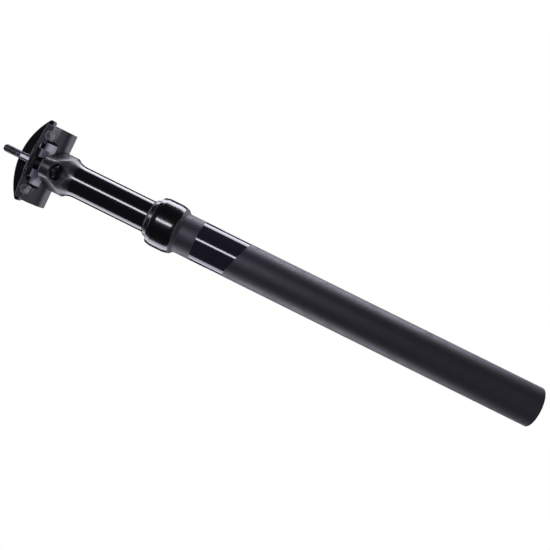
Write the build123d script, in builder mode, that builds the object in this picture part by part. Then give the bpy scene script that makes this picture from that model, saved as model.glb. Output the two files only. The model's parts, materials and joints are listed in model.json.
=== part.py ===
from build123d import *
import math
import os

# A telescoping, sprung bicycle seatpost with a two-bolt saddle clamp.
# Millimetres. +Z runs up the post, X is across the bicycle, -Y is the front.
# The origin is on the post's axis at the bottom end of the outer tube.

os.makedirs("parts", exist_ok=True)

# Driving dimensions: outer tube and stanchion
tube_diameter = 31.6
tube_wall = 2.0
tube_length = 296.0
tube_end_radius = 0.8
stanchion_diameter = 25.4
stanchion_wall = 2.7
stanchion_insert = 92.5
flare_height = 3.0
flare_step = 2.6
flare_edge = 0.4
thread_diameter = 34.6
thread_length = 11.7
exposed_length = 60.0
travel = 45.0

# Driving dimensions: collar nut and seal
collar_diameter = 39.0
collar_height = 20.0
collar_bottom_chamfer = 1.0
collar_bottom_taper = 4.2
collar_top_chamfer = 0.6
collar_top_taper = 2.5
collar_land = 1.6
seal_opening_diameter = 30.2
seal_body_diameter = 32.6
seal_shoulder_height = 1.6
seal_ring_height = 2.9
seal_ring_step = 0.4
seal_lip_height = 4.4
seal_lip_diameter = 26.8

# Driving dimensions: bushings, keys and stops
bush_clearance = 0.06
bush_flange_diameter = 33.0
bush_flange_height = 2.2
upper_bush_length = 54.7
lower_bush_length = 36.0
stop_ring_clearance = 0.25
stop_gap = 0.3
key_count = 3
key_width = 3.0
key_length = 12.0
key_depth = 1.1
key_blank = 8.0
key_clearance = 0.1
clip_height = 1.2
clip_depth = 0.7
clip_overhang = 0.6
clip_offset = 2.0
clip_opening = 6.0

# Driving dimensions: spring, its seats and the bumper
plug_recess = 10.0
plug_height = 14.0
plug_hex = 8.0
washer_height = 1.2
washer_hole_diameter = 14.0
washer_clearance = 0.6
spring_wire = 3.0
spring_mean_diameter = 19.4
spring_turns = 15
bumper_diameter = 12.6
bumper_edge_radius = 1.5
bumper_gap = 1.0
plunger_flange_height = 3.5
plunger_press_length = 12.0
plunger_spigot_length = 8.0
plunger_spigot_diameter = 15.2

# Driving dimensions: head forging
head_diameter = 31.6
head_height = 26.8
head_edge_radius = 1.2
cradle_height = 35.3
boss_diameter = 16.8
boss_offset = 20.0
boss_underside = 20.0
neck_lower_height = 8.0
neck_lower_radius = 13.3
neck_upper_height = 11.6
neck_upper_radius = 15.0
neck_flare_height = 15.6
neck_flare_radius = 19.6
neck_edge_margin = 1.0

# Driving dimensions: saddle clamp
rail_diameter = 7.0
rail_spacing = 44.0
clamp_gap = 0.8
cradle_diameter = 27.0
cradle_clearance = 0.08
lower_clamp_width = 60.6
rib_width = 66.4
rib_height = 18.7
rib_fall = 10.69
rib_sink = 0.9
rib_tip_radius = 1.5
rib_tip_share = 0.46
rib_thickness = 5.0
channel_inner = 11.0
channel_width = 4.0
channel_height = 2.2
groove_count = 3
groove_pitch = 1.1
groove_first = 1.6
groove_width = 0.5
groove_depth = 0.4
window_inner = 16.6
window_outer = 20.6
window_foot = 18.0
window_height = 7.4
window_depth = 5.0
bevel_top = 0.4
bevel_depth = 6.0
bevel_height = 7.7
ledge_width = 59.0
ledge_height = 5.6
ledge_middle = 15.0
ledge_end = 11.0
ear_width = 22.0
ear_front = 25.0
ear_back = 14.2
ear_drop = 5.4
notch_width = 9.6
notch_back = 16.4

# Driving dimensions: clamp bolts and barrel nuts
bolt_diameter = 6.0
bolt_length = 40.0
bolt_head_diameter = 10.0
bolt_head_height = 3.0
bolt_hex = 4.0
bolt_hex_depth = 2.0
bolt_hole_clearance = 0.3
bolt_washer_diameter = 11.6
bolt_washer_height = 1.0
counterbore_diameter = 12.4
nut_diameter = 8.0
nut_length = 17.0
nut_raise = 0.4
nut_clearance = 0.08
nut_bore_clearance = 0.45

# Sizes that follow from the driving dimensions
tube_radius = tube_diameter / 2
bore_radius = tube_radius - tube_wall
stanchion_radius = stanchion_diameter / 2
stanchion_bore = stanchion_radius - stanchion_wall
flare_radius = tube_radius + flare_step
thread_radius = thread_diameter / 2
collar_radius = collar_diameter / 2
running_radius = stanchion_radius + bush_clearance

thread_top = tube_length + thread_length
flange_top = thread_top + bush_flange_height
collar_top = tube_length + collar_height
bush_bottom = thread_top - upper_bush_length
stanchion_bottom = tube_length - stanchion_insert
head_base = collar_top + exposed_length
clamp_axis = head_base + cradle_height
head_top = head_base + head_height
head_radius = head_diameter / 2
boss_radius = boss_diameter / 2
boss_front = boss_offset + boss_radius
rail_radius = rail_diameter / 2
cradle_radius = cradle_diameter / 2
bolt_radius = bolt_diameter / 2
bolt_seat = head_base + boss_underside
plug_top = plug_recess + plug_height
spring_bottom = plug_top + washer_height
spring_top = stanchion_bottom - plunger_flange_height
bumper_top = spring_top - plunger_spigot_length - travel - bumper_gap
key_inner = stanchion_radius - key_depth
nut_axis = clamp_axis + nut_raise
nut_radius = nut_diameter / 2


def finish_part(part, name):
    part.label = name
    export_step(part, "parts/" + name + ".step")


# Outer tube: plain bottom end, flared top and the neck the collar screws on
with BuildPart() as outer_tube:
    with BuildSketch(Plane.XZ):
        with BuildLine():
            Polyline(
                (bore_radius, 0),
                (tube_radius - tube_end_radius, 0),
            )
            RadiusArc(
                (tube_radius - tube_end_radius, 0),
                (tube_radius, tube_end_radius),
                -tube_end_radius,
            )
            Polyline(
                (tube_radius, tube_end_radius),
                (tube_radius, tube_length - flare_height),
                (flare_radius, tube_length - flare_edge),
                (flare_radius, tube_length),
                (thread_radius, tube_length),
                (thread_radius, thread_top),
                (bore_radius, thread_top),
                (bore_radius, 0),
            )
        make_face()
    revolve(axis=Axis.Z)
finish_part(outer_tube.part, "outer_tube")

# Upper bushing: flanged sleeve in the outer tube's mouth, slotted for the keys
with BuildPart() as upper_bushing:
    with BuildSketch(Plane.XY.offset(bush_bottom)):
        Circle(bore_radius)
    extrude(amount=upper_bush_length)
    with BuildSketch(Plane.XY.offset(thread_top)):
        Circle(bush_flange_diameter / 2)
    extrude(amount=bush_flange_height)
    with BuildSketch(Plane.XY.offset(bush_bottom)):
        Circle(running_radius)
    extrude(amount=upper_bush_length + bush_flange_height, mode=Mode.SUBTRACT)
    with BuildSketch(Plane.XY.offset(bush_bottom)):
        with PolarLocations(0, key_count):
            with Locations((stanchion_radius, 0)):
                Rectangle(key_blank, key_width)
    extrude(amount=key_length, mode=Mode.SUBTRACT)
finish_part(upper_bushing.part, "upper_bushing")

# Guide keys: brass keys that stop the stanchion turning in the tube
with BuildPart() as guide_keys:
    with BuildSketch(Plane.XY.offset(bush_bottom)):
        with PolarLocations(0, key_count):
            with Locations((stanchion_radius, 0)):
                Rectangle(key_blank, key_width)
        Circle(bore_radius, mode=Mode.INTERSECT)
        Circle(key_inner + key_clearance, mode=Mode.SUBTRACT)
    extrude(amount=key_length)
finish_part(guide_keys.part, "guide_keys")

# Wiper seal: rubber ring held down by the collar nut, with its lip outside
with BuildPart() as wiper_seal:
    with BuildSketch(Plane.XZ):
        with BuildLine():
            Polyline(
                (running_radius, flange_top),
                (seal_body_diameter / 2, flange_top),
                (seal_body_diameter / 2, collar_top - collar_land),
                (seal_opening_diameter / 2, collar_top - collar_land),
                (seal_opening_diameter / 2, collar_top + seal_shoulder_height),
                (seal_opening_diameter / 2 - seal_ring_step, collar_top + seal_shoulder_height),
                (seal_opening_diameter / 2 - seal_ring_step, collar_top + seal_ring_height),
                (seal_lip_diameter / 2, collar_top + seal_lip_height),
                (running_radius, collar_top + seal_lip_height),
                (running_radius, flange_top),
            )
        make_face()
    revolve(axis=Axis.Z)
finish_part(wiper_seal.part, "wiper_seal")

# Collar nut: screws on the tube's neck and holds bushing and seal down
taper_top = collar_top - collar_land - collar_top_chamfer
with BuildPart() as collar_nut:
    with BuildSketch(Plane.XZ):
        with BuildLine():
            Polyline(
                (thread_radius, tube_length),
                (collar_radius - collar_bottom_chamfer, tube_length),
                (collar_radius, tube_length + collar_bottom_taper),
                (collar_radius, taper_top - collar_top_taper),
                (collar_radius - collar_top_chamfer, taper_top),
                (collar_radius - 1.5 * collar_top_chamfer, collar_top - collar_land / 2),
                (seal_opening_diameter / 2 + collar_top_chamfer, collar_top),
                (seal_opening_diameter / 2, collar_top),
                (seal_opening_diameter / 2, collar_top - collar_land),
                (seal_body_diameter / 2, collar_top - collar_land),
                (seal_body_diameter / 2, flange_top),
                (bush_flange_diameter / 2, flange_top),
                (bush_flange_diameter / 2, thread_top),
                (thread_radius, thread_top),
                (thread_radius, tube_length),
            )
        make_face()
    revolve(axis=Axis.Z)
finish_part(collar_nut.part, "collar_nut")

# Preload plug: screwed into the tube's lower end, turned with a hex key
with BuildPart() as preload_plug:
    with BuildSketch(Plane.XY.offset(plug_recess)):
        Circle(bore_radius)
        RegularPolygon(plug_hex / 2, 6, major_radius=False, mode=Mode.SUBTRACT)
    extrude(amount=plug_height)
finish_part(preload_plug.part, "preload_plug")

# Spring washer: hard seat between the plug and the spring
with BuildPart() as spring_washer:
    with BuildSketch(Plane.XY.offset(plug_top)):
        Circle(bore_radius - washer_clearance)
        Circle(washer_hole_diameter / 2, mode=Mode.SUBTRACT)
    extrude(amount=washer_height)
finish_part(spring_washer.part, "spring_washer")

# Bottom bumper: rubber rod inside the spring that ends the travel softly
with BuildPart() as bottom_bumper:
    with BuildSketch(Plane.XY.offset(plug_top)):
        Circle(bumper_diameter / 2)
    extrude(amount=bumper_top - plug_top)
    fillet(bottom_bumper.edges().group_by(Axis.Z)[-1], bumper_edge_radius)
finish_part(bottom_bumper.part, "bottom_bumper")

# Main spring: square wire, its ends ground flat on the washer and the plunger
spring_length = spring_top - spring_bottom
spring_pitch = spring_length / spring_turns
with BuildPart() as main_spring:
    with BuildLine() as spring_path:
        Helix(
            pitch=spring_pitch,
            height=spring_length + 2 * spring_wire,
            radius=spring_mean_diameter / 2,
            center=(0, 0, spring_bottom - spring_wire),
        )
    with BuildSketch(Plane(spring_path.line @ 0, x_dir=(1, 0, 0), z_dir=spring_path.line % 0)):
        Rectangle(spring_wire, spring_wire)
    sweep(is_frenet=True)
    split(bisect_by=Plane.XY.offset(spring_bottom), keep=Keep.TOP)
    split(bisect_by=Plane.XY.offset(spring_top), keep=Keep.BOTTOM)
finish_part(main_spring.part, "main_spring")

# Head forging: neck that flares out under two bolt bosses, cut by the cradle
with BuildPart() as head_plan:
    with BuildSketch(Plane.XY.offset(head_base)):
        with Locations((0, -boss_offset), (0, boss_offset)):
            Circle(boss_radius)
        Circle(head_radius)
        make_hull()
    extrude(amount=head_height)
    fillet(head_plan.edges().group_by(Axis.Z)[-1], head_edge_radius)

with BuildPart() as head_body:
    with BuildSketch(Plane.XZ):
        with BuildLine():
            Polyline(
                (0, head_base),
                (stanchion_radius, head_base),
            )
            neck_curve = Spline(
                (stanchion_radius, head_base),
                (neck_lower_radius, head_base + neck_lower_height),
                (neck_upper_radius, head_base + neck_upper_height),
                (neck_flare_radius, head_base + neck_flare_height),
                (boss_front + neck_edge_margin, bolt_seat),
                tangents=[(0, 1), (1, 0.4)],
            )
            Polyline(
                neck_curve @ 1,
                (boss_front + neck_edge_margin, head_top),
                (0, head_top),
                (0, head_base),
            )
        make_face()
    revolve(axis=Axis.Z)
    add(head_plan.part, mode=Mode.INTERSECT)

with BuildPart() as stanchion:
    with BuildSketch(Plane.XY.offset(stanchion_bottom)):
        Circle(stanchion_radius)
    extrude(amount=head_base - stanchion_bottom)
    add(head_body.part)
    with BuildSketch(Plane.YZ):
        with Locations((0, clamp_axis)):
            Circle(cradle_radius + cradle_clearance)
    extrude(amount=head_diameter, both=True, mode=Mode.SUBTRACT)
    with BuildSketch(Plane.XY.offset(head_base)):
        with Locations((0, -boss_offset), (0, boss_offset)):
            Circle(bolt_radius + bolt_hole_clearance)
    extrude(amount=head_height, mode=Mode.SUBTRACT)
    with BuildSketch(Plane.XY.offset(head_base)):
        with Locations((0, -boss_offset), (0, boss_offset)):
            Circle(counterbore_diameter / 2)
    extrude(amount=boss_underside, mode=Mode.SUBTRACT)
    with BuildSketch(Plane.XY.offset(stanchion_bottom)):
        Circle(stanchion_bore)
    extrude(amount=head_base - stanchion_bottom, mode=Mode.SUBTRACT)
    with BuildSketch(Plane.XY.offset(bush_bottom - stop_gap)):
        with PolarLocations(0, key_count):
            with Locations((stanchion_radius, 0)):
                Rectangle(2 * key_depth, key_width + 2 * key_clearance)
    extrude(amount=key_length + travel + 2 * stop_gap, mode=Mode.SUBTRACT)
    with BuildSketch(Plane.XY.offset(stanchion_bottom + clip_offset)):
        Circle(stanchion_radius)
        Circle(stanchion_radius - clip_depth, mode=Mode.SUBTRACT)
    extrude(amount=clip_height, mode=Mode.SUBTRACT)
finish_part(stanchion.part, "stanchion")

# Retaining ring: open clip in the groove at the stanchion's lower end
clip_bottom = stanchion_bottom + clip_offset
with BuildPart() as retaining_ring:
    with BuildSketch(Plane.XY.offset(clip_bottom)):
        Circle(stanchion_radius + clip_overhang)
        Circle(stanchion_radius - clip_depth, mode=Mode.SUBTRACT)
        with Locations((0, stanchion_radius)):
            Rectangle(clip_opening, 2 * (clip_depth + clip_overhang), mode=Mode.SUBTRACT)
    extrude(amount=clip_height)
finish_part(retaining_ring.part, "retaining_ring")

# Lower bushing: sleeve on the stanchion that slides in the outer tube
lower_bush_bottom = clip_bottom + clip_height
lower_bush_top = lower_bush_bottom + lower_bush_length
with BuildPart() as lower_bushing:
    with BuildSketch(Plane.XY.offset(lower_bush_bottom)):
        Circle(bore_radius - bush_clearance)
        Circle(stanchion_radius, mode=Mode.SUBTRACT)
    extrude(amount=lower_bush_length)
finish_part(lower_bushing.part, "lower_bushing")

# Top-out ring: rubber ring that meets the upper bushing at full height
with BuildPart() as top_out_ring:
    with BuildSketch(Plane.XY.offset(lower_bush_top)):
        Circle(bore_radius - stop_ring_clearance)
        Circle(stanchion_radius, mode=Mode.SUBTRACT)
    extrude(amount=bush_bottom - stop_gap - lower_bush_top)
finish_part(top_out_ring.part, "top_out_ring")

# Spring plunger: closes the stanchion's lower end and carries the spring
with BuildPart() as spring_plunger:
    with BuildSketch(Plane.XY.offset(stanchion_bottom - plunger_flange_height)):
        Circle(stanchion_radius)
    extrude(amount=plunger_flange_height)
    with BuildSketch(Plane.XY.offset(stanchion_bottom)):
        Circle(stanchion_bore)
    extrude(amount=plunger_press_length)
    with BuildSketch(Plane.XY.offset(spring_top - plunger_spigot_length)):
        Circle(plunger_spigot_diameter / 2)
    extrude(amount=plunger_spigot_length)
finish_part(spring_plunger.part, "spring_plunger")

# Lower clamp: half cylinder in the head's cradle, grooved for the rails
split_bottom = clamp_axis - clamp_gap / 2
with BuildPart() as lower_clamp:
    with BuildSketch(Plane.YZ):
        with Locations((0, clamp_axis)):
            Circle(cradle_radius)
        with Locations((0, split_bottom)):
            Rectangle(
                2 * cradle_diameter,
                cradle_diameter,
                align=(Align.CENTER, Align.MIN),
                mode=Mode.SUBTRACT,
            )
        for row in range(groove_count):
            groove_drop = clamp_gap / 2 + groove_first + row * groove_pitch
            groove_face = math.sqrt(cradle_radius**2 - groove_drop**2)
            with Locations(
                (-groove_face, clamp_axis - groove_drop),
                (groove_face, clamp_axis - groove_drop),
            ):
                Rectangle(2 * groove_depth, groove_width, mode=Mode.SUBTRACT)
    extrude(amount=lower_clamp_width / 2, both=True)
    with BuildSketch(Plane.XZ):
        with Locations((-rail_spacing / 2, clamp_axis), (rail_spacing / 2, clamp_axis)):
            Circle(rail_radius)
    extrude(amount=cradle_diameter, both=True, mode=Mode.SUBTRACT)
    with BuildSketch(Plane.YZ):
        for facing in (-1, 1):
            with BuildLine():
                Polyline(
                    (facing * (cradle_radius - bevel_top), split_bottom),
                    (facing * cradle_diameter, split_bottom),
                    (facing * cradle_diameter, split_bottom - bevel_height),
                    (facing * (cradle_radius - bevel_depth), split_bottom - bevel_height),
                    (facing * (cradle_radius - bevel_top), split_bottom),
                )
            make_face()
    extrude(amount=window_inner, both=True, mode=Mode.SUBTRACT)
    for facing in (-1, 1):
        with BuildSketch(Plane.XZ.offset(facing * (cradle_radius - window_depth))):
            for side in (-1, 1):
                with BuildLine():
                    Polyline(
                        (side * window_inner, split_bottom),
                        (side * window_outer, split_bottom),
                        (side * window_foot, split_bottom - window_height),
                        (side * window_inner, split_bottom - window_height),
                        (side * window_inner, split_bottom),
                    )
                make_face()
        extrude(amount=facing * 2 * window_depth, mode=Mode.SUBTRACT)
finish_part(lower_clamp.part, "lower_clamp")

# Top clamp: ledge over the rails with an arched rib, and a forked ear at each bolt
plate_bottom = clamp_axis + clamp_gap / 2
plate_top = plate_bottom + ledge_height
rib_top = plate_bottom + rib_height
half_rib = rib_width / 2
half_ledge = ledge_width / 2
tip_top = rib_top - rib_fall
tip_wall = tip_top - plate_top + rib_sink
ear_middle = (ear_front + ear_back) / 2
with BuildPart() as top_clamp:
    with BuildSketch(Plane.XZ):
        with BuildLine():
            ThreePointArc((-half_rib, tip_top), (0, rib_top), (half_rib, tip_top))
            Polyline(
                (half_rib, tip_top),
                (half_rib, plate_top - rib_sink),
                (-half_rib, plate_top - rib_sink),
                (-half_rib, tip_top),
            )
        make_face()
    extrude(amount=rib_thickness / 2, both=True)
    fillet(top_clamp.edges().filter_by(Axis.Y), min(rib_tip_radius, rib_tip_share * tip_wall))
    with BuildSketch(Plane.XY.offset(plate_bottom)):
        with BuildLine():
            ThreePointArc((-half_ledge, -ledge_end), (0, -ledge_middle), (half_ledge, -ledge_end))
            Line((half_ledge, -ledge_end), (half_ledge, ledge_end))
            ThreePointArc((half_ledge, ledge_end), (0, ledge_middle), (-half_ledge, ledge_end))
            Line((-half_ledge, ledge_end), (-half_ledge, -ledge_end))
        make_face()
    extrude(amount=ledge_height)
    with BuildSketch(Plane.XY.offset(plate_bottom - ear_drop)):
        with Locations((0, -ear_middle), (0, ear_middle)):
            Rectangle(ear_width, ear_front - ear_back)
    extrude(amount=ear_drop + ledge_height)
    with BuildSketch(Plane.XY.offset(nut_axis)):
        with Locations((0, -ear_front), (0, ear_front)):
            Rectangle(ear_width, 2 * (ear_front - boss_offset + nut_radius + nut_clearance))
    extrude(amount=ledge_height + ear_drop, mode=Mode.SUBTRACT)
    with BuildSketch(Plane.XY.offset(plate_bottom)):
        channel_middle = channel_inner + channel_width / 2
        with Locations((-channel_middle, 0), (channel_middle, 0)):
            Rectangle(channel_width, 2 * ledge_middle)
    extrude(amount=channel_height, mode=Mode.SUBTRACT)
    with BuildSketch(Plane.XZ):
        with Locations((-rail_spacing / 2, clamp_axis), (rail_spacing / 2, clamp_axis)):
            Circle(rail_radius)
    extrude(amount=cradle_diameter, both=True, mode=Mode.SUBTRACT)
    with BuildSketch(Plane.YZ):
        with Locations((-boss_offset, nut_axis), (boss_offset, nut_axis)):
            Circle(nut_radius + nut_clearance)
    extrude(amount=ear_width, both=True, mode=Mode.SUBTRACT)
    with BuildSketch(Plane.XY.offset(plate_bottom - ear_drop)):
        with Locations((0, -ear_front), (0, ear_front)):
            Rectangle(notch_width, 2 * (ear_front - notch_back))
    extrude(amount=ear_drop + ledge_height, mode=Mode.SUBTRACT)
finish_part(top_clamp.part, "top_clamp")

# Clamp bolts with their washers, and the barrel nuts, front and rear
for place, side in (("front", -1), ("rear", 1)):
    with BuildPart() as clamp_bolt:
        with BuildSketch(Plane.XY.offset(bolt_seat - bolt_washer_height)):
            with Locations((0, side * boss_offset)):
                Circle(bolt_radius)
        extrude(amount=bolt_length)
        with BuildSketch(Plane.XY.offset(bolt_seat - bolt_washer_height)):
            with Locations((0, side * boss_offset)):
                Circle(bolt_head_diameter / 2)
        extrude(amount=-bolt_head_height)
        with BuildSketch(Plane.XY.offset(bolt_seat - bolt_washer_height - bolt_head_height)):
            with Locations((0, side * boss_offset)):
                RegularPolygon(bolt_hex / 2, 6, major_radius=False)
        extrude(amount=bolt_hex_depth, mode=Mode.SUBTRACT)
    finish_part(clamp_bolt.part, place + "_bolt")

    with BuildPart() as bolt_washer:
        with BuildSketch(Plane.XY.offset(bolt_seat - bolt_washer_height)):
            with Locations((0, side * boss_offset)):
                Circle(bolt_washer_diameter / 2)
                Circle(bolt_radius + bolt_hole_clearance / 2, mode=Mode.SUBTRACT)
        extrude(amount=bolt_washer_height)
    finish_part(bolt_washer.part, place + "_washer")

    with BuildPart() as barrel_nut:
        with BuildSketch(Plane.YZ):
            with Locations((side * boss_offset, nut_axis)):
                Circle(nut_radius)
        extrude(amount=nut_length / 2, both=True)
        with BuildSketch(Plane.XY.offset(nut_axis)):
            with Locations((0, side * boss_offset)):
                Circle(bolt_radius + nut_bore_clearance)
        extrude(amount=nut_diameter, both=True, mode=Mode.SUBTRACT)
    finish_part(barrel_nut.part, place + "_nut")
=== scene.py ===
import bpy
import bmesh
import json
import math
from mathutils import Matrix, Vector

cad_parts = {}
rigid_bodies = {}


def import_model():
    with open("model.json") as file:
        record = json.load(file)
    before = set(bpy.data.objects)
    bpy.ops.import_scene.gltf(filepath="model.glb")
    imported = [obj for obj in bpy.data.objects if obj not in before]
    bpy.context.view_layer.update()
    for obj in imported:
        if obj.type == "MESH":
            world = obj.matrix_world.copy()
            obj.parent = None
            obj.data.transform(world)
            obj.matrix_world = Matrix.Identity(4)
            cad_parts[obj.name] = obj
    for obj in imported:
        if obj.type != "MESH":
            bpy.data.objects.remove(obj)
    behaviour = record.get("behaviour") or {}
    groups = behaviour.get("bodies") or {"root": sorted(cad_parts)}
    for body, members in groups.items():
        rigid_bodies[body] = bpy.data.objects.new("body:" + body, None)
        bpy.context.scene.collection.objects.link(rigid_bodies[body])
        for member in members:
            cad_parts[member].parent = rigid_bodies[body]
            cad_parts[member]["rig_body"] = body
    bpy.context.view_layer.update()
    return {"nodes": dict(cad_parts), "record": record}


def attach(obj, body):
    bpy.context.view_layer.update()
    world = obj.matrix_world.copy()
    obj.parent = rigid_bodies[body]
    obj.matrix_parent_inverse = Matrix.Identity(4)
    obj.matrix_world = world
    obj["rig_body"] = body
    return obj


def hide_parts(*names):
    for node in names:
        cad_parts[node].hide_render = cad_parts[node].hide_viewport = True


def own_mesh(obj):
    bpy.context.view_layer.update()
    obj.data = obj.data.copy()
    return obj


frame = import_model()
nodes = frame["nodes"]
mm = 0.001  # sizes are in millimetres, Blender's in metres
print("stage: frame loaded,", len(nodes), "nodes")

# Node helpers: a value is a number, a colour or the socket that gives it

def feed(tree, value, socket):
    if isinstance(value, bpy.types.NodeSocket):
        tree.links.new(value, socket)
    else:
        socket.default_value = value

def addMath(tree, operation, *values):
    node = tree.nodes.new("ShaderNodeMath")
    node.operation = operation
    for value, socket in zip(values, node.inputs):
        feed(tree, value, socket)
    return node.outputs["Value"]

def product(tree, result, *factors):
    for factor in factors:
        result = addMath(tree, "MULTIPLY", result, factor)
    return result

def addRamp(tree, source, start, end, atStart, atEnd, kind="LINEAR"):
    ramp = tree.nodes.new("ShaderNodeMapRange")
    ramp.interpolation_type = kind
    ramp.inputs["From Min"].default_value = start
    ramp.inputs["From Max"].default_value = end
    ramp.inputs["To Min"].default_value = atStart
    ramp.inputs["To Max"].default_value = atEnd
    tree.links.new(source, ramp.inputs["Value"])
    return ramp.outputs["Result"]

def over(tree, source, edge, fade):
    return addRamp(tree, source, edge - fade, edge + fade, 0.0, 1.0, "SMOOTHSTEP")

def under(tree, source, edge, fade):
    return addRamp(tree, source, edge - fade, edge + fade, 1.0, 0.0, "SMOOTHSTEP")

# Where a mix node has its two inputs and its result
mixPlaces = {"FLOAT": (2, 3, 0), "RGBA": (6, 7, 2)}

def blend(tree, share, first, second, kind="RGBA"):
    mix = tree.nodes.new("ShaderNodeMix")
    mix.data_type = kind
    firstPlace, secondPlace, resultPlace = mixPlaces[kind]
    tree.links.new(share, mix.inputs["Factor"])
    feed(tree, first, mix.inputs[firstPlace])
    feed(tree, second, mix.inputs[secondPlace])
    return mix.outputs[resultPlace]

def apartFrom(tree, first, firstPlace, second, secondPlace):
    flat = tree.nodes.new("ShaderNodeCombineXYZ")
    tree.links.new(addMath(tree, "SUBTRACT", first, firstPlace), flat.inputs["X"])
    tree.links.new(addMath(tree, "SUBTRACT", second, secondPlace), flat.inputs["Y"])
    radius = tree.nodes.new("ShaderNodeVectorMath")
    radius.operation = "LENGTH"
    tree.links.new(flat.outputs["Vector"], radius.inputs[0])
    return radius.outputs["Value"]

# Materials: every one is procedural on Object coordinates

def newMaterial(name):
    material = bpy.data.materials.new(name)
    material.use_nodes = True
    tree = material.node_tree
    shader = tree.nodes["Principled BSDF"]
    coords = tree.nodes.new("ShaderNodeTexCoord").outputs["Object"]
    return material, tree, shader, coords

def splitCoords(tree, coords):
    split = tree.nodes.new("ShaderNodeSeparateXYZ")
    tree.links.new(coords, split.inputs["Vector"])
    return split.outputs

def addNoise(tree, coords, scale, detail, stretch):
    mapping = tree.nodes.new("ShaderNodeMapping")
    mapping.inputs["Scale"].default_value = stretch
    noise = tree.nodes.new("ShaderNodeTexNoise")
    noise.inputs["Scale"].default_value = scale
    noise.inputs["Detail"].default_value = detail
    tree.links.new(coords, mapping.inputs["Vector"])
    tree.links.new(mapping.outputs["Vector"], noise.inputs["Vector"])
    return noise.outputs["Fac"]

# What a finish has where its own values say nothing else
plainSurface = {
    "metallic": 0.0, "ior": 1.5, "stretch": (1, 1, 1), "soften": 0.0,
    "wearScale": 90.0, "wearDetail": 4.0, "wearSpread": 0.12, "wearLow": 0.3, "wearHigh": 0.7,
    "grainScale": 1800.0, "grainDetail": 2.0, "grainStrength": 0.06, "grainDepth": 0.04 * mm,
    "shine": 0.5, "bevelSamples": 6,
}

def wornRoughness(tree, coords, rough, look):
    wear = addNoise(tree, coords, look["wearScale"], look["wearDetail"], look["stretch"])
    low = rough * (1 - look["wearSpread"])
    high = rough * (1 + look["wearSpread"])
    return addRamp(tree, wear, look["wearLow"], look["wearHigh"], low, high)

def addGrain(tree, shader, coords, look, share=None):
    height = addNoise(tree, coords, look["grainScale"], look["grainDetail"], look["stretch"])
    if share is not None:
        height = product(tree, height, share)
    bump = tree.nodes.new("ShaderNodeBump")
    bump.inputs["Strength"].default_value = look["grainStrength"]
    bump.inputs["Distance"].default_value = look["grainDepth"]
    tree.links.new(height, bump.inputs["Height"])
    if look["soften"]:
        bevel = tree.nodes.new("ShaderNodeBevel")
        bevel.samples = look["bevelSamples"]
        bevel.inputs["Radius"].default_value = look["soften"]
        tree.links.new(bevel.outputs["Normal"], bump.inputs["Normal"])
    tree.links.new(bump.outputs["Normal"], shader.inputs["Normal"])

def plainFinish(name, look):
    material, tree, shader, coords = newMaterial(name)
    shader.inputs["Base Color"].default_value = look["colour"]
    shader.inputs["Metallic"].default_value = look["metallic"]
    shader.inputs["IOR"].default_value = look["ior"]
    roughness = wornRoughness(tree, coords, look["rough"], look)
    tree.links.new(roughness, shader.inputs["Roughness"])
    addGrain(tree, shader, coords, look)
    return material

# The tube is matte, with a gloss band that ends on a slant
tubeLook = {
    **plainSurface, "colour": (0.0088, 0.0084, 0.0122, 1), "matte": 0.55, "gloss": 0.10,
    "ior": 1.42, "tint": (1.0, 0.985, 1.07, 1),
    "bandTop": 279.4 * mm, "bandBottom": 247.0 * mm, "bandSlant": -0.327,
    "wearScale": 120.0, "wearSpread": 0.08,
    "grainScale": 2600.0, "grainStrength": 0.18, "grainDepth": 0.05 * mm,
}

def bandedFinish(name, look):
    material, tree, shader, coords = newMaterial(name)
    shader.inputs["Base Color"].default_value = look["colour"]
    shader.inputs["IOR"].default_value = look["ior"]
    shader.inputs["Specular Tint"].default_value = look["tint"]
    place = splitCoords(tree, coords)
    slanted = addMath(tree, "MULTIPLY_ADD", place["X"], -look["bandSlant"], place["Z"])
    overEnd = addMath(tree, "GREATER_THAN", slanted, look["bandBottom"])
    underEnd = addMath(tree, "LESS_THAN", place["Z"], look["bandTop"])
    inBand = product(tree, overEnd, underEnd)
    matte = wornRoughness(tree, coords, look["matte"], look)
    roughness = blend(tree, inBand, matte, look["gloss"], "FLOAT")
    tree.links.new(roughness, shader.inputs["Roughness"])
    addGrain(tree, shader, coords, look, addMath(tree, "SUBTRACT", 1.0, inBand))
    return material

# The bolt is black, with a painted highlight strip down the front of the shank and a blue locking
# patch
boltLook = {
    **plainSurface, "colour": (0.006, 0.006, 0.0075, 1), "rough": 0.30,
    "shankLow": 412.0 * mm, "shankHigh": 421.3 * mm, "shankFade": 0.05 * mm,
    # Painted highlight: a light grey strip down the shank's front, standing in for a lamp's
    # reflection on the black shank
    "shankHighlightColour": (0.46, 0.455, 0.48, 1), "shankHighlightHalf": 1.15 * mm, "shankHighlightFade": 0.25 * mm,
    "patchColour": (0.014, 0.022, 0.042, 1), "patchHigh": 425.6 * mm, "patchFade": 0.3 * mm,
    "shine": 0.12, "threadShine": 0.6,
    "wearScale": 400.0, "wearDetail": 3.0, "wearSpread": 0.2,
    "grainScale": 3000.0, "grainStrength": 0.08,
}

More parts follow.
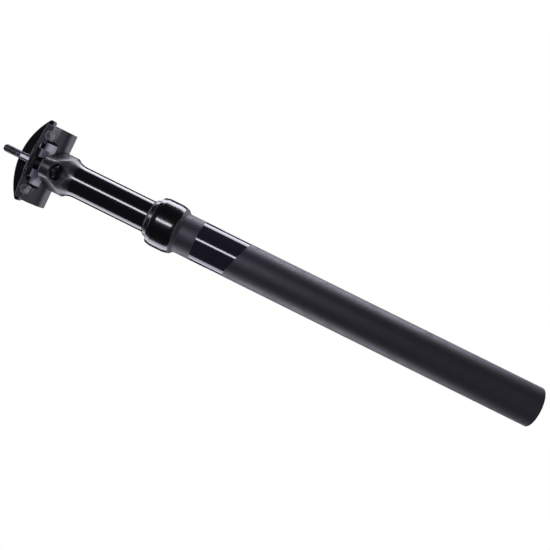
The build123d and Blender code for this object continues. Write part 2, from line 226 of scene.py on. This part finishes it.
def boltFinish(name, look):
    material, tree, shader, coords = newMaterial(name)
    place = splitCoords(tree, coords)
    across = addMath(tree, "ABSOLUTE", place["X"])
    middle = under(tree, across, look["shankHighlightHalf"], look["shankHighlightFade"])
    overLow = over(tree, place["Z"], look["shankLow"], look["shankFade"])
    underHigh = under(tree, place["Z"], look["shankHigh"], look["shankFade"])
    overShank = over(tree, place["Z"], look["shankHigh"], look["shankFade"])
    underPatch = under(tree, place["Z"], look["patchHigh"], look["patchFade"])
    # Painted highlight: light grey in a narrow band down the shank's front
    strip = product(tree, middle, overLow, underHigh)
    highlighted = blend(tree, strip, look["colour"], look["shankHighlightColour"])
    patch = product(tree, overShank, underPatch)
    patched = blend(tree, patch, highlighted, look["patchColour"])
    tree.links.new(patched, shader.inputs["Base Color"])
    shine = addRamp(tree, overShank, 0.0, 1.0, look["shine"], look["threadShine"])
    tree.links.new(shine, shader.inputs["Specular IOR Level"])
    roughness = wornRoughness(tree, coords, look["rough"], look)
    tree.links.new(roughness, shader.inputs["Roughness"])
    addGrain(tree, shader, coords, look)
    return material

# The stanchion is gloss and the forged head above the line is satin; the bolt bores carry painted
# light, a lighter and less shiny grey that stands in for the lit flare around them
headLook = {
    **plainSurface, "colour": (0.003, 0.0029, 0.0038, 1), "gloss": 0.13,
    "satinColour": (0.0044, 0.0042, 0.0075, 1), "satin": 0.35,
    "line": 383.0 * mm, "blend": 1.5 * mm,
    # Painted light: the bore walls below their foot are painted lighter and less shiny, so they
    # read as lit as the flare around them
    "paintedBoreColour": (0.020, 0.0195, 0.025, 1), "boreShine": 0.06,
    "boreOffset": 20.0 * mm, "boreRadius": 6.25 * mm, "boreFade": 0.03 * mm,
    "boreFoot": 390.8 * mm, "footFade": 1.0 * mm,
    "wearScale": 140.0, "wearSpread": 0.08,
    "grainScale": 1500.0, "grainStrength": 0.05, "soften": 1.0 * mm,
}

def headFinish(name, look):
    material, tree, shader, coords = newMaterial(name)
    place = splitCoords(tree, coords)
    lineLow, lineHigh = look["line"] - look["blend"], look["line"] + look["blend"]
    satinShare = addRamp(tree, place["Z"], lineLow, lineHigh, 0.0, 1.0)
    plain = blend(tree, satinShare, look["colour"], look["satinColour"])
    depth = addMath(tree, "ABSOLUTE", place["Y"])
    radius = apartFrom(tree, place["X"], 0.0, depth, look["boreOffset"])
    bore = under(tree, radius, look["boreRadius"], look["boreFade"])
    # Painted light in the bores: the lighter, dull colour goes where they open under the head
    foot = product(tree, bore, under(tree, place["Z"], look["boreFoot"], look["footFade"]))
    colour = blend(tree, foot, plain, look["paintedBoreColour"])
    tree.links.new(colour, shader.inputs["Base Color"])
    shine = addRamp(tree, bore, 0.0, 1.0, look["shine"], look["boreShine"])
    tree.links.new(shine, shader.inputs["Specular IOR Level"])
    satin = wornRoughness(tree, coords, look["satin"], look)
    roughness = blend(tree, satinShare, look["gloss"], satin, "FLOAT")
    tree.links.new(roughness, shader.inputs["Roughness"])
    addGrain(tree, shader, coords, look, satinShare)
    return material

# The clamp halves are dark, with painted light: a painted reflection on the middle faces, painted
# highlights on the rail grooves, painted shade in the lower clamp's windows and a painted sheen on
# the top clamp's ledge ends
clampSurface = {
    **plainSurface, "fade": 0.1 * mm, "lowFade": 0.2 * mm, "sideHighFade": 0.1 * mm,
    # Painted highlight: the rail grooves' faces are painted light grey, standing in for light
    # caught on their ceilings
    "grooveHighlightColour": (0.20, 0.195, 0.215, 1), "railOffset": 22.0 * mm, "railHeight": 411.3 * mm,
    "railRadius": 3.65 * mm, "railFade": 0.05 * mm,
}
lowerClampLook = {
    **clampSurface, "colour": (0.0087, 0.0082, 0.0130, 1), "rough": 0.34,
    # Painted reflection: the lower clamp's middle front faces are painted light grey, standing in
    # for light they mirror from below
    "paintedMiddleColour": (0.32, 0.315, 0.34, 1), "halfWidth": 16.6 * mm,
    "low": 403.3 * mm, "high": 409.5 * mm, "highFade": 1.9 * mm,
    # Painted shade: the lower clamp's windows are painted near black and less shiny, standing in
    # for the shade inside them
    "paintedSideColour": (0.001, 0.001, 0.0013, 1), "sideShine": 0.08,
    "sideStart": 16.7 * mm, "sideFade": 0.1 * mm, "sideEnd": 20.7 * mm,
    "sideFront": 9.2 * mm, "sideHigh": 420.0 * mm,
}
topClampLook = {
    **clampSurface, "colour": (0.0030, 0.0028, 0.0046, 1), "rough": 0.10,
    # Painted light: the top clamp's ear undersides are painted lighter grey
    "paintedMiddleColour": (0.13, 0.122, 0.16, 1), "halfWidth": 11.2 * mm,
    "low": 405.0 * mm, "high": 407.4 * mm, "highFade": 0.8 * mm,
    # Painted sheen: the top clamp's outer ledge ends are painted lighter than its middle
    "paintedSideColour": (0.026, 0.0245, 0.034, 1), "sideShine": 0.5,
    "sideStart": 12.5 * mm, "sideFade": 3.0 * mm, "sideEnd": 60.0 * mm,
    "sideFront": 60.0 * mm, "sideHigh": 417.35 * mm,
    "grainStrength": 0.04, "soften": 0.6 * mm,
}

def paintedLightClampFinish(name, look):
    material, tree, shader, coords = newMaterial(name)
    place = splitCoords(tree, coords)
    across = addMath(tree, "ABSOLUTE", place["X"])
    depth = addMath(tree, "ABSOLUTE", place["Y"])
    height = place["Z"]
    # Painted light on the middle faces: lighter colour between the low and high edges
    inside = under(tree, across, look["halfWidth"], look["fade"])
    below = under(tree, height, look["high"], look["highFade"])
    above = over(tree, height, look["low"], look["lowFade"])
    middle = product(tree, inside, below, above)
    withMiddleLight = blend(tree, middle, look["colour"], look["paintedMiddleColour"])
    # Painted light in the outer zones: painted shade in the lower clamp's windows, painted sheen on
    # the top clamp's ledge ends
    paintedSide = product(
        tree, above,
        over(tree, across, look["sideStart"], look["sideFade"]),
        under(tree, across, look["sideEnd"], look["fade"]),
        under(tree, depth, look["sideFront"], look["fade"]),
        under(tree, height, look["sideHigh"], look["sideHighFade"]),
    )
    withSideLight = blend(tree, paintedSide, withMiddleLight, look["paintedSideColour"])
    # Painted highlight on the rail grooves' faces
    apart = apartFrom(tree, across, look["railOffset"], height, look["railHeight"])
    grooveHighlight = under(tree, apart, look["railRadius"], look["railFade"])
    tree.links.new(blend(tree, grooveHighlight, withSideLight, look["grooveHighlightColour"]), shader.inputs["Base Color"])
    shine = addRamp(tree, paintedSide, 0.0, 1.0, look["shine"], look["sideShine"])
    tree.links.new(shine, shader.inputs["Specular IOR Level"])
    roughness = wornRoughness(tree, coords, look["rough"], look)
    tree.links.new(roughness, shader.inputs["Roughness"])
    addGrain(tree, shader, coords, look)
    return material

looks = {
    "tube_black": bandedFinish("tubeBlack", tubeLook),
    "head_black": headFinish("headBlack", headLook),
    "lower_clamp_grey": paintedLightClampFinish("lowerClampGrey", lowerClampLook),
    "top_clamp_black": paintedLightClampFinish("topClampBlack", topClampLook),
    "bolt_black": boltFinish("boltBlack", boltLook),
}
plainLooks = {
    "collar_black": ("collarBlack", {
        "colour": (0.002, 0.0019, 0.0026, 1), "rough": 0.18, "grainStrength": 0.02,
    }),
    "seal_rubber": ("sealRubber", {
        "colour": (0.003, 0.003, 0.0035, 1), "rough": 0.28, "grainStrength": 0.1,
    }),
    "bush_plastic": ("bushPlastic", {"colour": (0.62, 0.61, 0.57, 1), "rough": 0.38}),
    "key_brass": ("keyBrass", {"colour": (0.62, 0.42, 0.14, 1), "rough": 0.30, "metallic": 1.0}),
    "plug_aluminium": ("plugAluminium", {
        "colour": (0.45, 0.45, 0.47, 1), "rough": 0.30, "metallic": 1.0, "stretch": (1, 1, 0.1),
    }),
    "steel": ("zincSteel", {"colour": (0.5, 0.5, 0.5, 1), "rough": 0.30, "metallic": 1.0}),
    "spring_steel": ("springSteel", {
        "colour": (0.12, 0.12, 0.13, 1), "rough": 0.32, "metallic": 1.0,
    }),
    "bumper_rubber": ("bumperRubber", {"colour": (0.03, 0.03, 0.03, 1), "rough": 0.6}),
    "nut_black": ("nutBlack", {"colour": (0.003, 0.003, 0.0036, 1), "rough": 0.25, "ior": 1.18}),
}
for slotName, (materialName, own) in plainLooks.items():
    looks[slotName] = plainFinish(materialName, {**plainSurface, **own})
slots = {part["node"]: part["material_slot"] for part in frame["record"]["subparts"]}
for nodeName, node in nodes.items():
    node.data.materials.clear()
    node.data.materials.append(looks[slots[nodeName]])
print("stage: materials made")

# Helpers that make finished pieces
edgeSizes = {"smoothAngle": 32.0, "weld": 0.002, "flatAngle": 0.4, "segments": 3}
sharp = 0.0

def link(name, mesh):
    piece = bpy.data.objects.new(name, mesh)
    bpy.context.scene.collection.objects.link(piece)
    return piece

def dress(piece, nodeName):
    body = nodes[nodeName]["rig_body"]
    piece.data.materials.clear()
    piece.data.materials.append(looks[slots[nodeName]])
    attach(piece, body)
    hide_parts(nodeName)

def smooth(mesh, degrees=edgeSizes["smoothAngle"]):
    mesh.shade_smooth()
    mesh.set_sharp_from_angle(angle=math.radians(degrees))

# A ring is a radius and a height, and "hex" makes a hexagon of it
def ringPoint(ring, angle):
    radius, z = ring[0], ring[1]
    if len(ring) > 2 and ring[2] == "hex":
        sector = (angle % (math.pi / 3)) - math.pi / 6
        radius = radius / math.cos(sector)
    return radius, z

def turned(name, rings, segments, centre=(0.0, 0.0), closed=True):
    work = bmesh.new()
    loops = []
    for ring in rings:
        if ring[0] == 0:
            loops.append([work.verts.new((centre[0] * mm, centre[1] * mm, ring[1] * mm))])
            continue
        loop = []
        for step in range(segments):
            angle = 2 * math.pi * step / segments
            radius, z = ringPoint(ring, angle)
            x = centre[0] + radius * math.cos(angle)
            y = centre[1] + radius * math.sin(angle)
            loop.append(work.verts.new((x * mm, y * mm, z * mm)))
        loops.append(loop)
    pairs = list(zip(loops, loops[1:]))
    if closed:
        pairs.append((loops[-1], loops[0]))
    for first, second in pairs:
        for step in range(segments):
            after = (step + 1) % segments
            if len(first) == 1:
                work.faces.new((first[0], second[step], second[after]))
            elif len(second) == 1:
                work.faces.new((first[step], first[after], second[0]))
            else:
                work.faces.new((first[step], first[after], second[after], second[step]))
    bmesh.ops.recalc_face_normals(work, faces=work.faces)
    mesh = bpy.data.meshes.new(name)
    work.to_mesh(mesh)
    work.free()
    smooth(mesh)
    return link(name, mesh)

# A corner is a radius, a height and how far its rounding reaches
def rounded(corners, steps=4, mostReach=0.45):
    result = []
    for index, (x, z, rounding) in enumerate(corners):
        here = Vector((x, z))
        toBefore = Vector(corners[index - 1][:2]) - here
        toAfter = Vector(corners[(index + 1) % len(corners)][:2]) - here
        reach = min(rounding, mostReach * toBefore.length, mostReach * toAfter.length)
        if reach <= 0:
            result.append(tuple(here))
            continue
        start = here + toBefore.normalized() * reach
        end = here + toAfter.normalized() * reach
        for step in range(steps + 1):
            share = step / steps
            point = start.lerp(here, share).lerp(here.lerp(end, share), share)
            result.append((point.x, point.y))
    return result

def bake(piece):
    depsgraph = bpy.context.evaluated_depsgraph_get()
    mesh = bpy.data.meshes.new_from_object(piece.evaluated_get(depsgraph))
    piece.modifiers.clear()
    piece.data = mesh

def softened(nodeName, width, sizes=edgeSizes):
    mesh = nodes[nodeName].data.copy()
    mesh.name = nodeName + "Soft"
    work = bmesh.new()
    work.from_mesh(mesh)
    bmesh.ops.remove_doubles(work, verts=work.verts, dist=sizes["weld"] * mm)
    flat = math.radians(sizes["flatAngle"])
    bmesh.ops.dissolve_limit(work, angle_limit=flat, verts=work.verts, edges=work.edges)
    bmesh.ops.recalc_face_normals(work, faces=work.faces)
    work.to_mesh(mesh)
    work.free()
    smooth(mesh)
    piece = link(nodeName + "Soft", mesh)
    bevel = piece.modifiers.new("edges", "BEVEL")
    bevel.width = width * mm
    bevel.segments = sizes["segments"]
    bevel.limit_method = "ANGLE"
    bevel.angle_limit = math.radians(sizes["smoothAngle"])
    bevel.harden_normals = True
    bevel.use_clamp_overlap = True
    bake(piece)
    dress(piece, nodeName)

# Outer tube, turned: plain lower end, flare under the collar, open bore
tubeSizes = {
    "radius": 15.8, "bore": 13.8, "flare": 18.4, "neck": 17.3, "bottom": 0.0, "flareLow": 293.0,
    "shoulder": 296.0, "rim": 0.4, "top": 307.7,
    "boreRounding": 0.4, "endRounding": 0.8, "flareRounding": 1.0, "rimRounding": 0.15,
    "segments": 192,
}

def tubeCorners(sizes):
    return [
        (sizes["bore"], sizes["bottom"], sizes["boreRounding"]),
        (sizes["radius"], sizes["bottom"], sizes["endRounding"]),
        (sizes["radius"], sizes["flareLow"], sizes["flareRounding"]),
        (sizes["flare"], sizes["shoulder"] - sizes["rim"], sizes["rimRounding"]),
        (sizes["flare"], sizes["shoulder"], sharp),
        (sizes["neck"], sizes["shoulder"], sharp),
        (sizes["neck"], sizes["top"], sharp),
        (sizes["bore"], sizes["top"], sharp),
    ]

tubeRings = rounded(tubeCorners(tubeSizes))
dress(turned("tubeShell", tubeRings, tubeSizes["segments"]), "outer_tube")

# Collar nut, with the pocket that the seal fills in its mouth
sealSizes = {
    "bore": 12.76, "bottom": 309.9, "body": 16.3, "bodyTop": 314.4, "neck": 15.1, "neckTop": 317.6,
    "lip": 14.7, "lipTop": 318.9, "tip": 13.4, "top": 320.4,
    "neckRounding": 0.35, "stepRounding": 0.1, "lipRounding": 0.4, "tipRounding": 0.3,
    "boreRounding": 0.2, "segments": 144,
}
collarSizes = {
    "radius": 19.5, "bottom": 296.0, "footInset": 1.0, "footHeight": 4.2, "sideTop": 311.3,
    "brow": 18.9, "browTop": 313.8, "rim": 18.6, "rimTop": 315.2, "crown": 15.7, "top": 316.0,
    "thread": 17.3, "threadTop": 307.7, "flangePocket": 16.5,
    "footRounding": 0.5, "slopeRounding": 2.0, "sideRounding": 0.5, "browRounding": 0.3,
    "rimRounding": 0.5, "crownRounding": 0.25, "segments": 192,
}

def collarCorners(sizes, seal):
    return [
        (sizes["thread"], sizes["bottom"], sharp),
        (sizes["radius"] - sizes["footInset"], sizes["bottom"], sizes["footRounding"]),
        (sizes["radius"], sizes["bottom"] + sizes["footHeight"], sizes["slopeRounding"]),
        (sizes["radius"], sizes["sideTop"], sizes["sideRounding"]),
        (sizes["brow"], sizes["browTop"], sizes["browRounding"]),
        (sizes["rim"], sizes["rimTop"], sizes["rimRounding"]),
        (sizes["crown"], sizes["top"], sizes["crownRounding"]),
        (seal["neck"], sizes["top"], sharp),
        (seal["neck"], seal["bodyTop"], sharp),
        (seal["body"], seal["bodyTop"], sharp),
        (seal["body"], seal["bottom"], sharp),
        (sizes["flangePocket"], seal["bottom"], sharp),
        (sizes["flangePocket"], sizes["threadTop"], sharp),
        (sizes["thread"], sizes["threadTop"], sharp),
    ]

def sealCorners(sizes):
    return [
        (sizes["bore"], sizes["bottom"], sharp),
        (sizes["body"], sizes["bottom"], sharp),
        (sizes["body"], sizes["bodyTop"], sharp),
        (sizes["neck"], sizes["bodyTop"], sharp),
        (sizes["neck"], sizes["neckTop"], sizes["neckRounding"]),
        (sizes["lip"], sizes["neckTop"], sizes["stepRounding"]),
        (sizes["lip"], sizes["lipTop"], sizes["lipRounding"]),
        (sizes["tip"], sizes["top"], sizes["tipRounding"]),
        (sizes["bore"], sizes["top"], sizes["boreRounding"]),
    ]

collarRings = rounded(collarCorners(collarSizes, sealSizes))
dress(turned("collarRing", collarRings, collarSizes["segments"]), "collar_nut")
sealRings = rounded(sealCorners(sealSizes))
dress(turned("wiperRing", sealRings, sealSizes["segments"]), "wiper_seal")
print("stage: turned pieces made")

# Head, clamp halves, nuts and small pieces: softened copies of the solids, with edge widths
softening = {
    "stanchion": 0.35, "lower_clamp": 0.12, "top_clamp": 0.4, "front_nut": 0.35, "rear_nut": 0.35,
    "front_washer": 0.15, "rear_washer": 0.15, "preload_plug": 0.3, "spring_washer": 0.15,
    "bottom_bumper": 0.2, "upper_bushing": 0.2, "lower_bushing": 0.3, "top_out_ring": 0.3,
    "retaining_ring": 0.15, "spring_plunger": 0.3, "guide_keys": 0.15,
}
for nodeName, width in softening.items():
    softened(nodeName, width)
print("stage: softened pieces made")

# Clamp bolts: hex socket head, smooth shank and a rolled thread at the tip
boltSizes = {
    "radius": 3.0, "core": 2.6, "pitch": 1.0, "ridge": 0.36, "offset": 20.0,
    "head": 5.0, "headHeight": 3.0, "seat": 395.0, "threadLow": 421.3, "tip": 435.0,
    "socket": 2.0, "socketDepth": 2.0, "mouthDepth": 0.1, "mouthFlare": 0.15,
    "crownInset": 0.9, "edgeInset": 0.35, "edgeRise": 0.15, "sideRise": 0.6, "seatBevel": 0.2,
    "fillet": 0.25, "runIn": 0.5, "runOut": 0.1, "tipRise": 0.5, "tipInset": 0.45, "ridgeStop": 0.7,
    "segments": 96, "turnSteps": 48, "ridgeSides": 4,
}

def threadRidge(name, sizes, centre):
    tree = bpy.data.node_groups.new(name + "Nodes", "GeometryNodeTree")
    tree.interface.new_socket("Geometry", in_out="OUTPUT", socket_type="NodeSocketGeometry")
    values = {
        "Length": (sizes["tip"] - sizes["ridgeStop"] - sizes["threadLow"]) * mm,
        "Pitch": sizes["pitch"] * mm, "Radius": sizes["core"] * mm, "Ridge": sizes["ridge"] * mm,
    }
    identifiers = {}
    for label in values:
        socket = tree.interface.new_socket(label, in_out="INPUT", socket_type="NodeSocketFloat")
        identifiers[label] = socket.identifier
    start = tree.nodes.new("NodeGroupInput")
    end = tree.nodes.new("NodeGroupOutput")
    turns = addMath(tree, "DIVIDE", start.outputs["Length"], start.outputs["Pitch"])
    spiral = tree.nodes.new("GeometryNodeCurveSpiral")
    spiral.inputs["Resolution"].default_value = sizes["turnSteps"]
    section = tree.nodes.new("GeometryNodeCurvePrimitiveCircle")
    section.inputs["Resolution"].default_value = sizes["ridgeSides"]
    sweep = tree.nodes.new("GeometryNodeCurveToMesh")
    sweep.inputs["Fill Caps"].default_value = True
    realize = tree.nodes.new("GeometryNodeRealizeInstances")
    finish = tree.nodes.new("GeometryNodeSetMaterial")
    finish.inputs["Material"].default_value = looks["bolt_black"]
    for source, target in (
        (turns, spiral.inputs["Rotations"]),
        (start.outputs["Radius"], spiral.inputs["Start Radius"]),
        (start.outputs["Radius"], spiral.inputs["End Radius"]),
        (start.outputs["Length"], spiral.inputs["Height"]),
        (start.outputs["Ridge"], section.inputs["Radius"]),
        (spiral.outputs["Curve"], sweep.inputs["Curve"]),
        (section.outputs["Curve"], sweep.inputs["Profile Curve"]),
        (sweep.outputs["Mesh"], realize.inputs["Geometry"]),
        (realize.outputs["Geometry"], finish.inputs["Geometry"]),
        (finish.outputs["Geometry"], end.inputs["Geometry"]),
    ):
        tree.links.new(source, target)
    ridge = link(name, bpy.data.meshes.new(name))
    modifier = ridge.modifiers.new("thread", "NODES")
    modifier.node_group = tree
    for label, value in values.items():
        modifier[identifiers[label]] = value
    bake(ridge)
    foot = (centre[0] * mm, centre[1] * mm, sizes["threadLow"] * mm)
    ridge.data.transform(Matrix.Translation(foot))
    return ridge

def boltRings(sizes):
    bottom = sizes["seat"] - sizes["headHeight"]
    return [
        (0, bottom + sizes["socketDepth"]),
        (sizes["socket"], bottom + sizes["socketDepth"], "hex"),
        (sizes["socket"], bottom + sizes["mouthDepth"], "hex"),
        (sizes["socket"] + sizes["mouthFlare"], bottom, "hex"),
        (sizes["head"] - sizes["crownInset"], bottom),
        (sizes["head"] - sizes["edgeInset"], bottom + sizes["edgeRise"]),
        (sizes["head"], bottom + sizes["sideRise"]),
        (sizes["head"], sizes["seat"] - sizes["seatBevel"]),
        (sizes["head"] - sizes["seatBevel"], sizes["seat"]),
        (sizes["radius"] + sizes["fillet"], sizes["seat"]),
        (sizes["radius"], sizes["seat"] + sizes["fillet"]),
        (sizes["radius"], sizes["threadLow"] - sizes["runIn"]),
        (sizes["core"], sizes["threadLow"] + sizes["runOut"]),
        (sizes["core"], sizes["tip"] - sizes["tipRise"]),
        (sizes["core"] - sizes["tipInset"], sizes["tip"]),
        (0, sizes["tip"]),
    ]

def clampBolt(name, nodeName, sizes, centre):
    bolt = turned(name, boltRings(sizes), sizes["segments"], centre, closed=False)
    dress(bolt, nodeName)
    ridge = threadRidge(name + "Thread", sizes, centre)
    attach(ridge, nodes[nodeName]["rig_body"])

clampBolt("frontBolt", "front_bolt", boltSizes, (0.0, -boltSizes["offset"]))
clampBolt("rearBolt", "rear_bolt", boltSizes, (0.0, boltSizes["offset"]))
print("stage: bolts made")

# Main spring, which closes up as the stanchion sinks in the real post; here a smooth-shaded copy of
# the solid that does not move
springSizes = {"fixedEnd": 25.2 * mm, "length": 174.8, "travel": 45.0, "smoothAngle": 40.0}
springMesh = nodes["main_spring"].data.copy()
smooth(springMesh, springSizes["smoothAngle"])
spring = link("mainSpringCoil", springMesh)
dress(spring, "main_spring")
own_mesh(spring)

# Light: long boxes at both sides, a thin front strip, boxes above, below and behind,
# and a glow from the floor in front
lamps = {
    "rightBox": {
        "place": (0.483, 0.262, 0.38), "aim": (0, 0, 0.38),
        "width": 0.26, "height": 0.98, "radiance": 9.2,
    },
    "leftBox": {
        "place": (-0.512, 0.20, 0.38), "aim": (0, 0, 0.38),
        "width": 0.31, "height": 0.98, "radiance": 5.6,
    },
    "frontStrip": {
        "place": (0.075, -0.46, 0.39), "aim": (0, 0, 0.39),
        "width": 0.07, "height": 0.34, "radiance": 22.0,
    },
    "topBox": {
        "place": (0.0, -0.1, 1.1), "aim": (0, 0, 0.4),
        "width": 0.7, "height": 0.7, "radiance": 3.0,
    },
    "floorGlow": {
        "place": (0.0, -0.80, -0.5), "aim": (0, -0.80, 1.0),
        "width": 1.8, "height": 1.2, "radiance": 0.8,
    },
    "underBox": {
        "place": (0.0, 0.58, -0.42), "aim": (0, 0.0, 0.41),
        "width": 1.0, "height": 0.6, "radiance": 2.2,
    },
    "backBox": {
        "place": (0.0, 0.9, 0.0), "aim": (0, 0, 0.0),
        "width": 1.0, "height": 0.75, "radiance": 0.8,
    },
}
lampTint = (1.0, 0.97, 1.10)
for lampName, lamp in lamps.items():
    light = bpy.data.lights.new(lampName, "AREA")
    light.shape = "RECTANGLE"
    light.size = lamp["width"]
    light.size_y = lamp["height"]
    light.color = lampTint
    light.energy = lamp["radiance"] * math.pi * lamp["width"] * lamp["height"]
    holder = bpy.data.objects.new(lampName, light)
    bpy.context.scene.collection.objects.link(holder)
    holder.location = lamp["place"]
    toward = Vector(lamp["aim"]) - Vector(lamp["place"])
    holder.rotation_euler = toward.to_track_quat("-Z", "Y").to_euler()
    holder.visible_camera = False

# World: a faint fill for the object, plain white for the camera
sky = {"fill": (0.9, 0.9, 1.0, 1), "strength": 0.04, "backdrop": (1, 1, 1, 1)}
world = bpy.data.worlds.new("studio")
bpy.context.scene.world = world
world.use_nodes = True
worldTree = world.node_tree
background = worldTree.nodes["Background"]
background.inputs["Color"].default_value = sky["fill"]
background.inputs["Strength"].default_value = sky["strength"]
whiteBack = worldTree.nodes.new("ShaderNodeBackground")
whiteBack.inputs["Color"].default_value = sky["backdrop"]
rays = worldTree.nodes.new("ShaderNodeLightPath")
choose = worldTree.nodes.new("ShaderNodeMixShader")
worldTree.links.new(rays.outputs["Is Camera Ray"], choose.inputs["Fac"])
worldTree.links.new(background.outputs["Background"], choose.inputs[1])
worldTree.links.new(whiteBack.outputs["Background"], choose.inputs[2])
worldTree.links.new(choose.outputs["Shader"], worldTree.nodes["World Output"].inputs["Surface"])

# Camera: near the post's middle height, rolled so that the post lies across the picture
view = {
    "place": (0.025, -0.5356, 0.19645), "target": (0.00276, 0.0, 0.21588),
    "lens": 46.66, "sensor": 36.0, "roll": -63.68, "near": 0.01,
}
cameraData = bpy.data.cameras.new("photoCamera")
cameraData.sensor_width = view["sensor"]
cameraData.lens = view["lens"]
cameraData.clip_start = view["near"]
camera = bpy.data.objects.new("photoCamera", cameraData)
bpy.context.scene.collection.objects.link(camera)
camera.location = view["place"]
forward = Vector(view["target"]) - Vector(view["place"])
aimed = forward.to_track_quat("-Z", "Y").to_matrix()
roll = Matrix.Rotation(math.radians(view["roll"]), 3, "Z")
camera.rotation_euler = (aimed @ roll).to_euler()
bpy.context.scene.camera = camera
bpy.context.scene.view_settings.view_transform = "Standard"
print("stage: light and camera set")
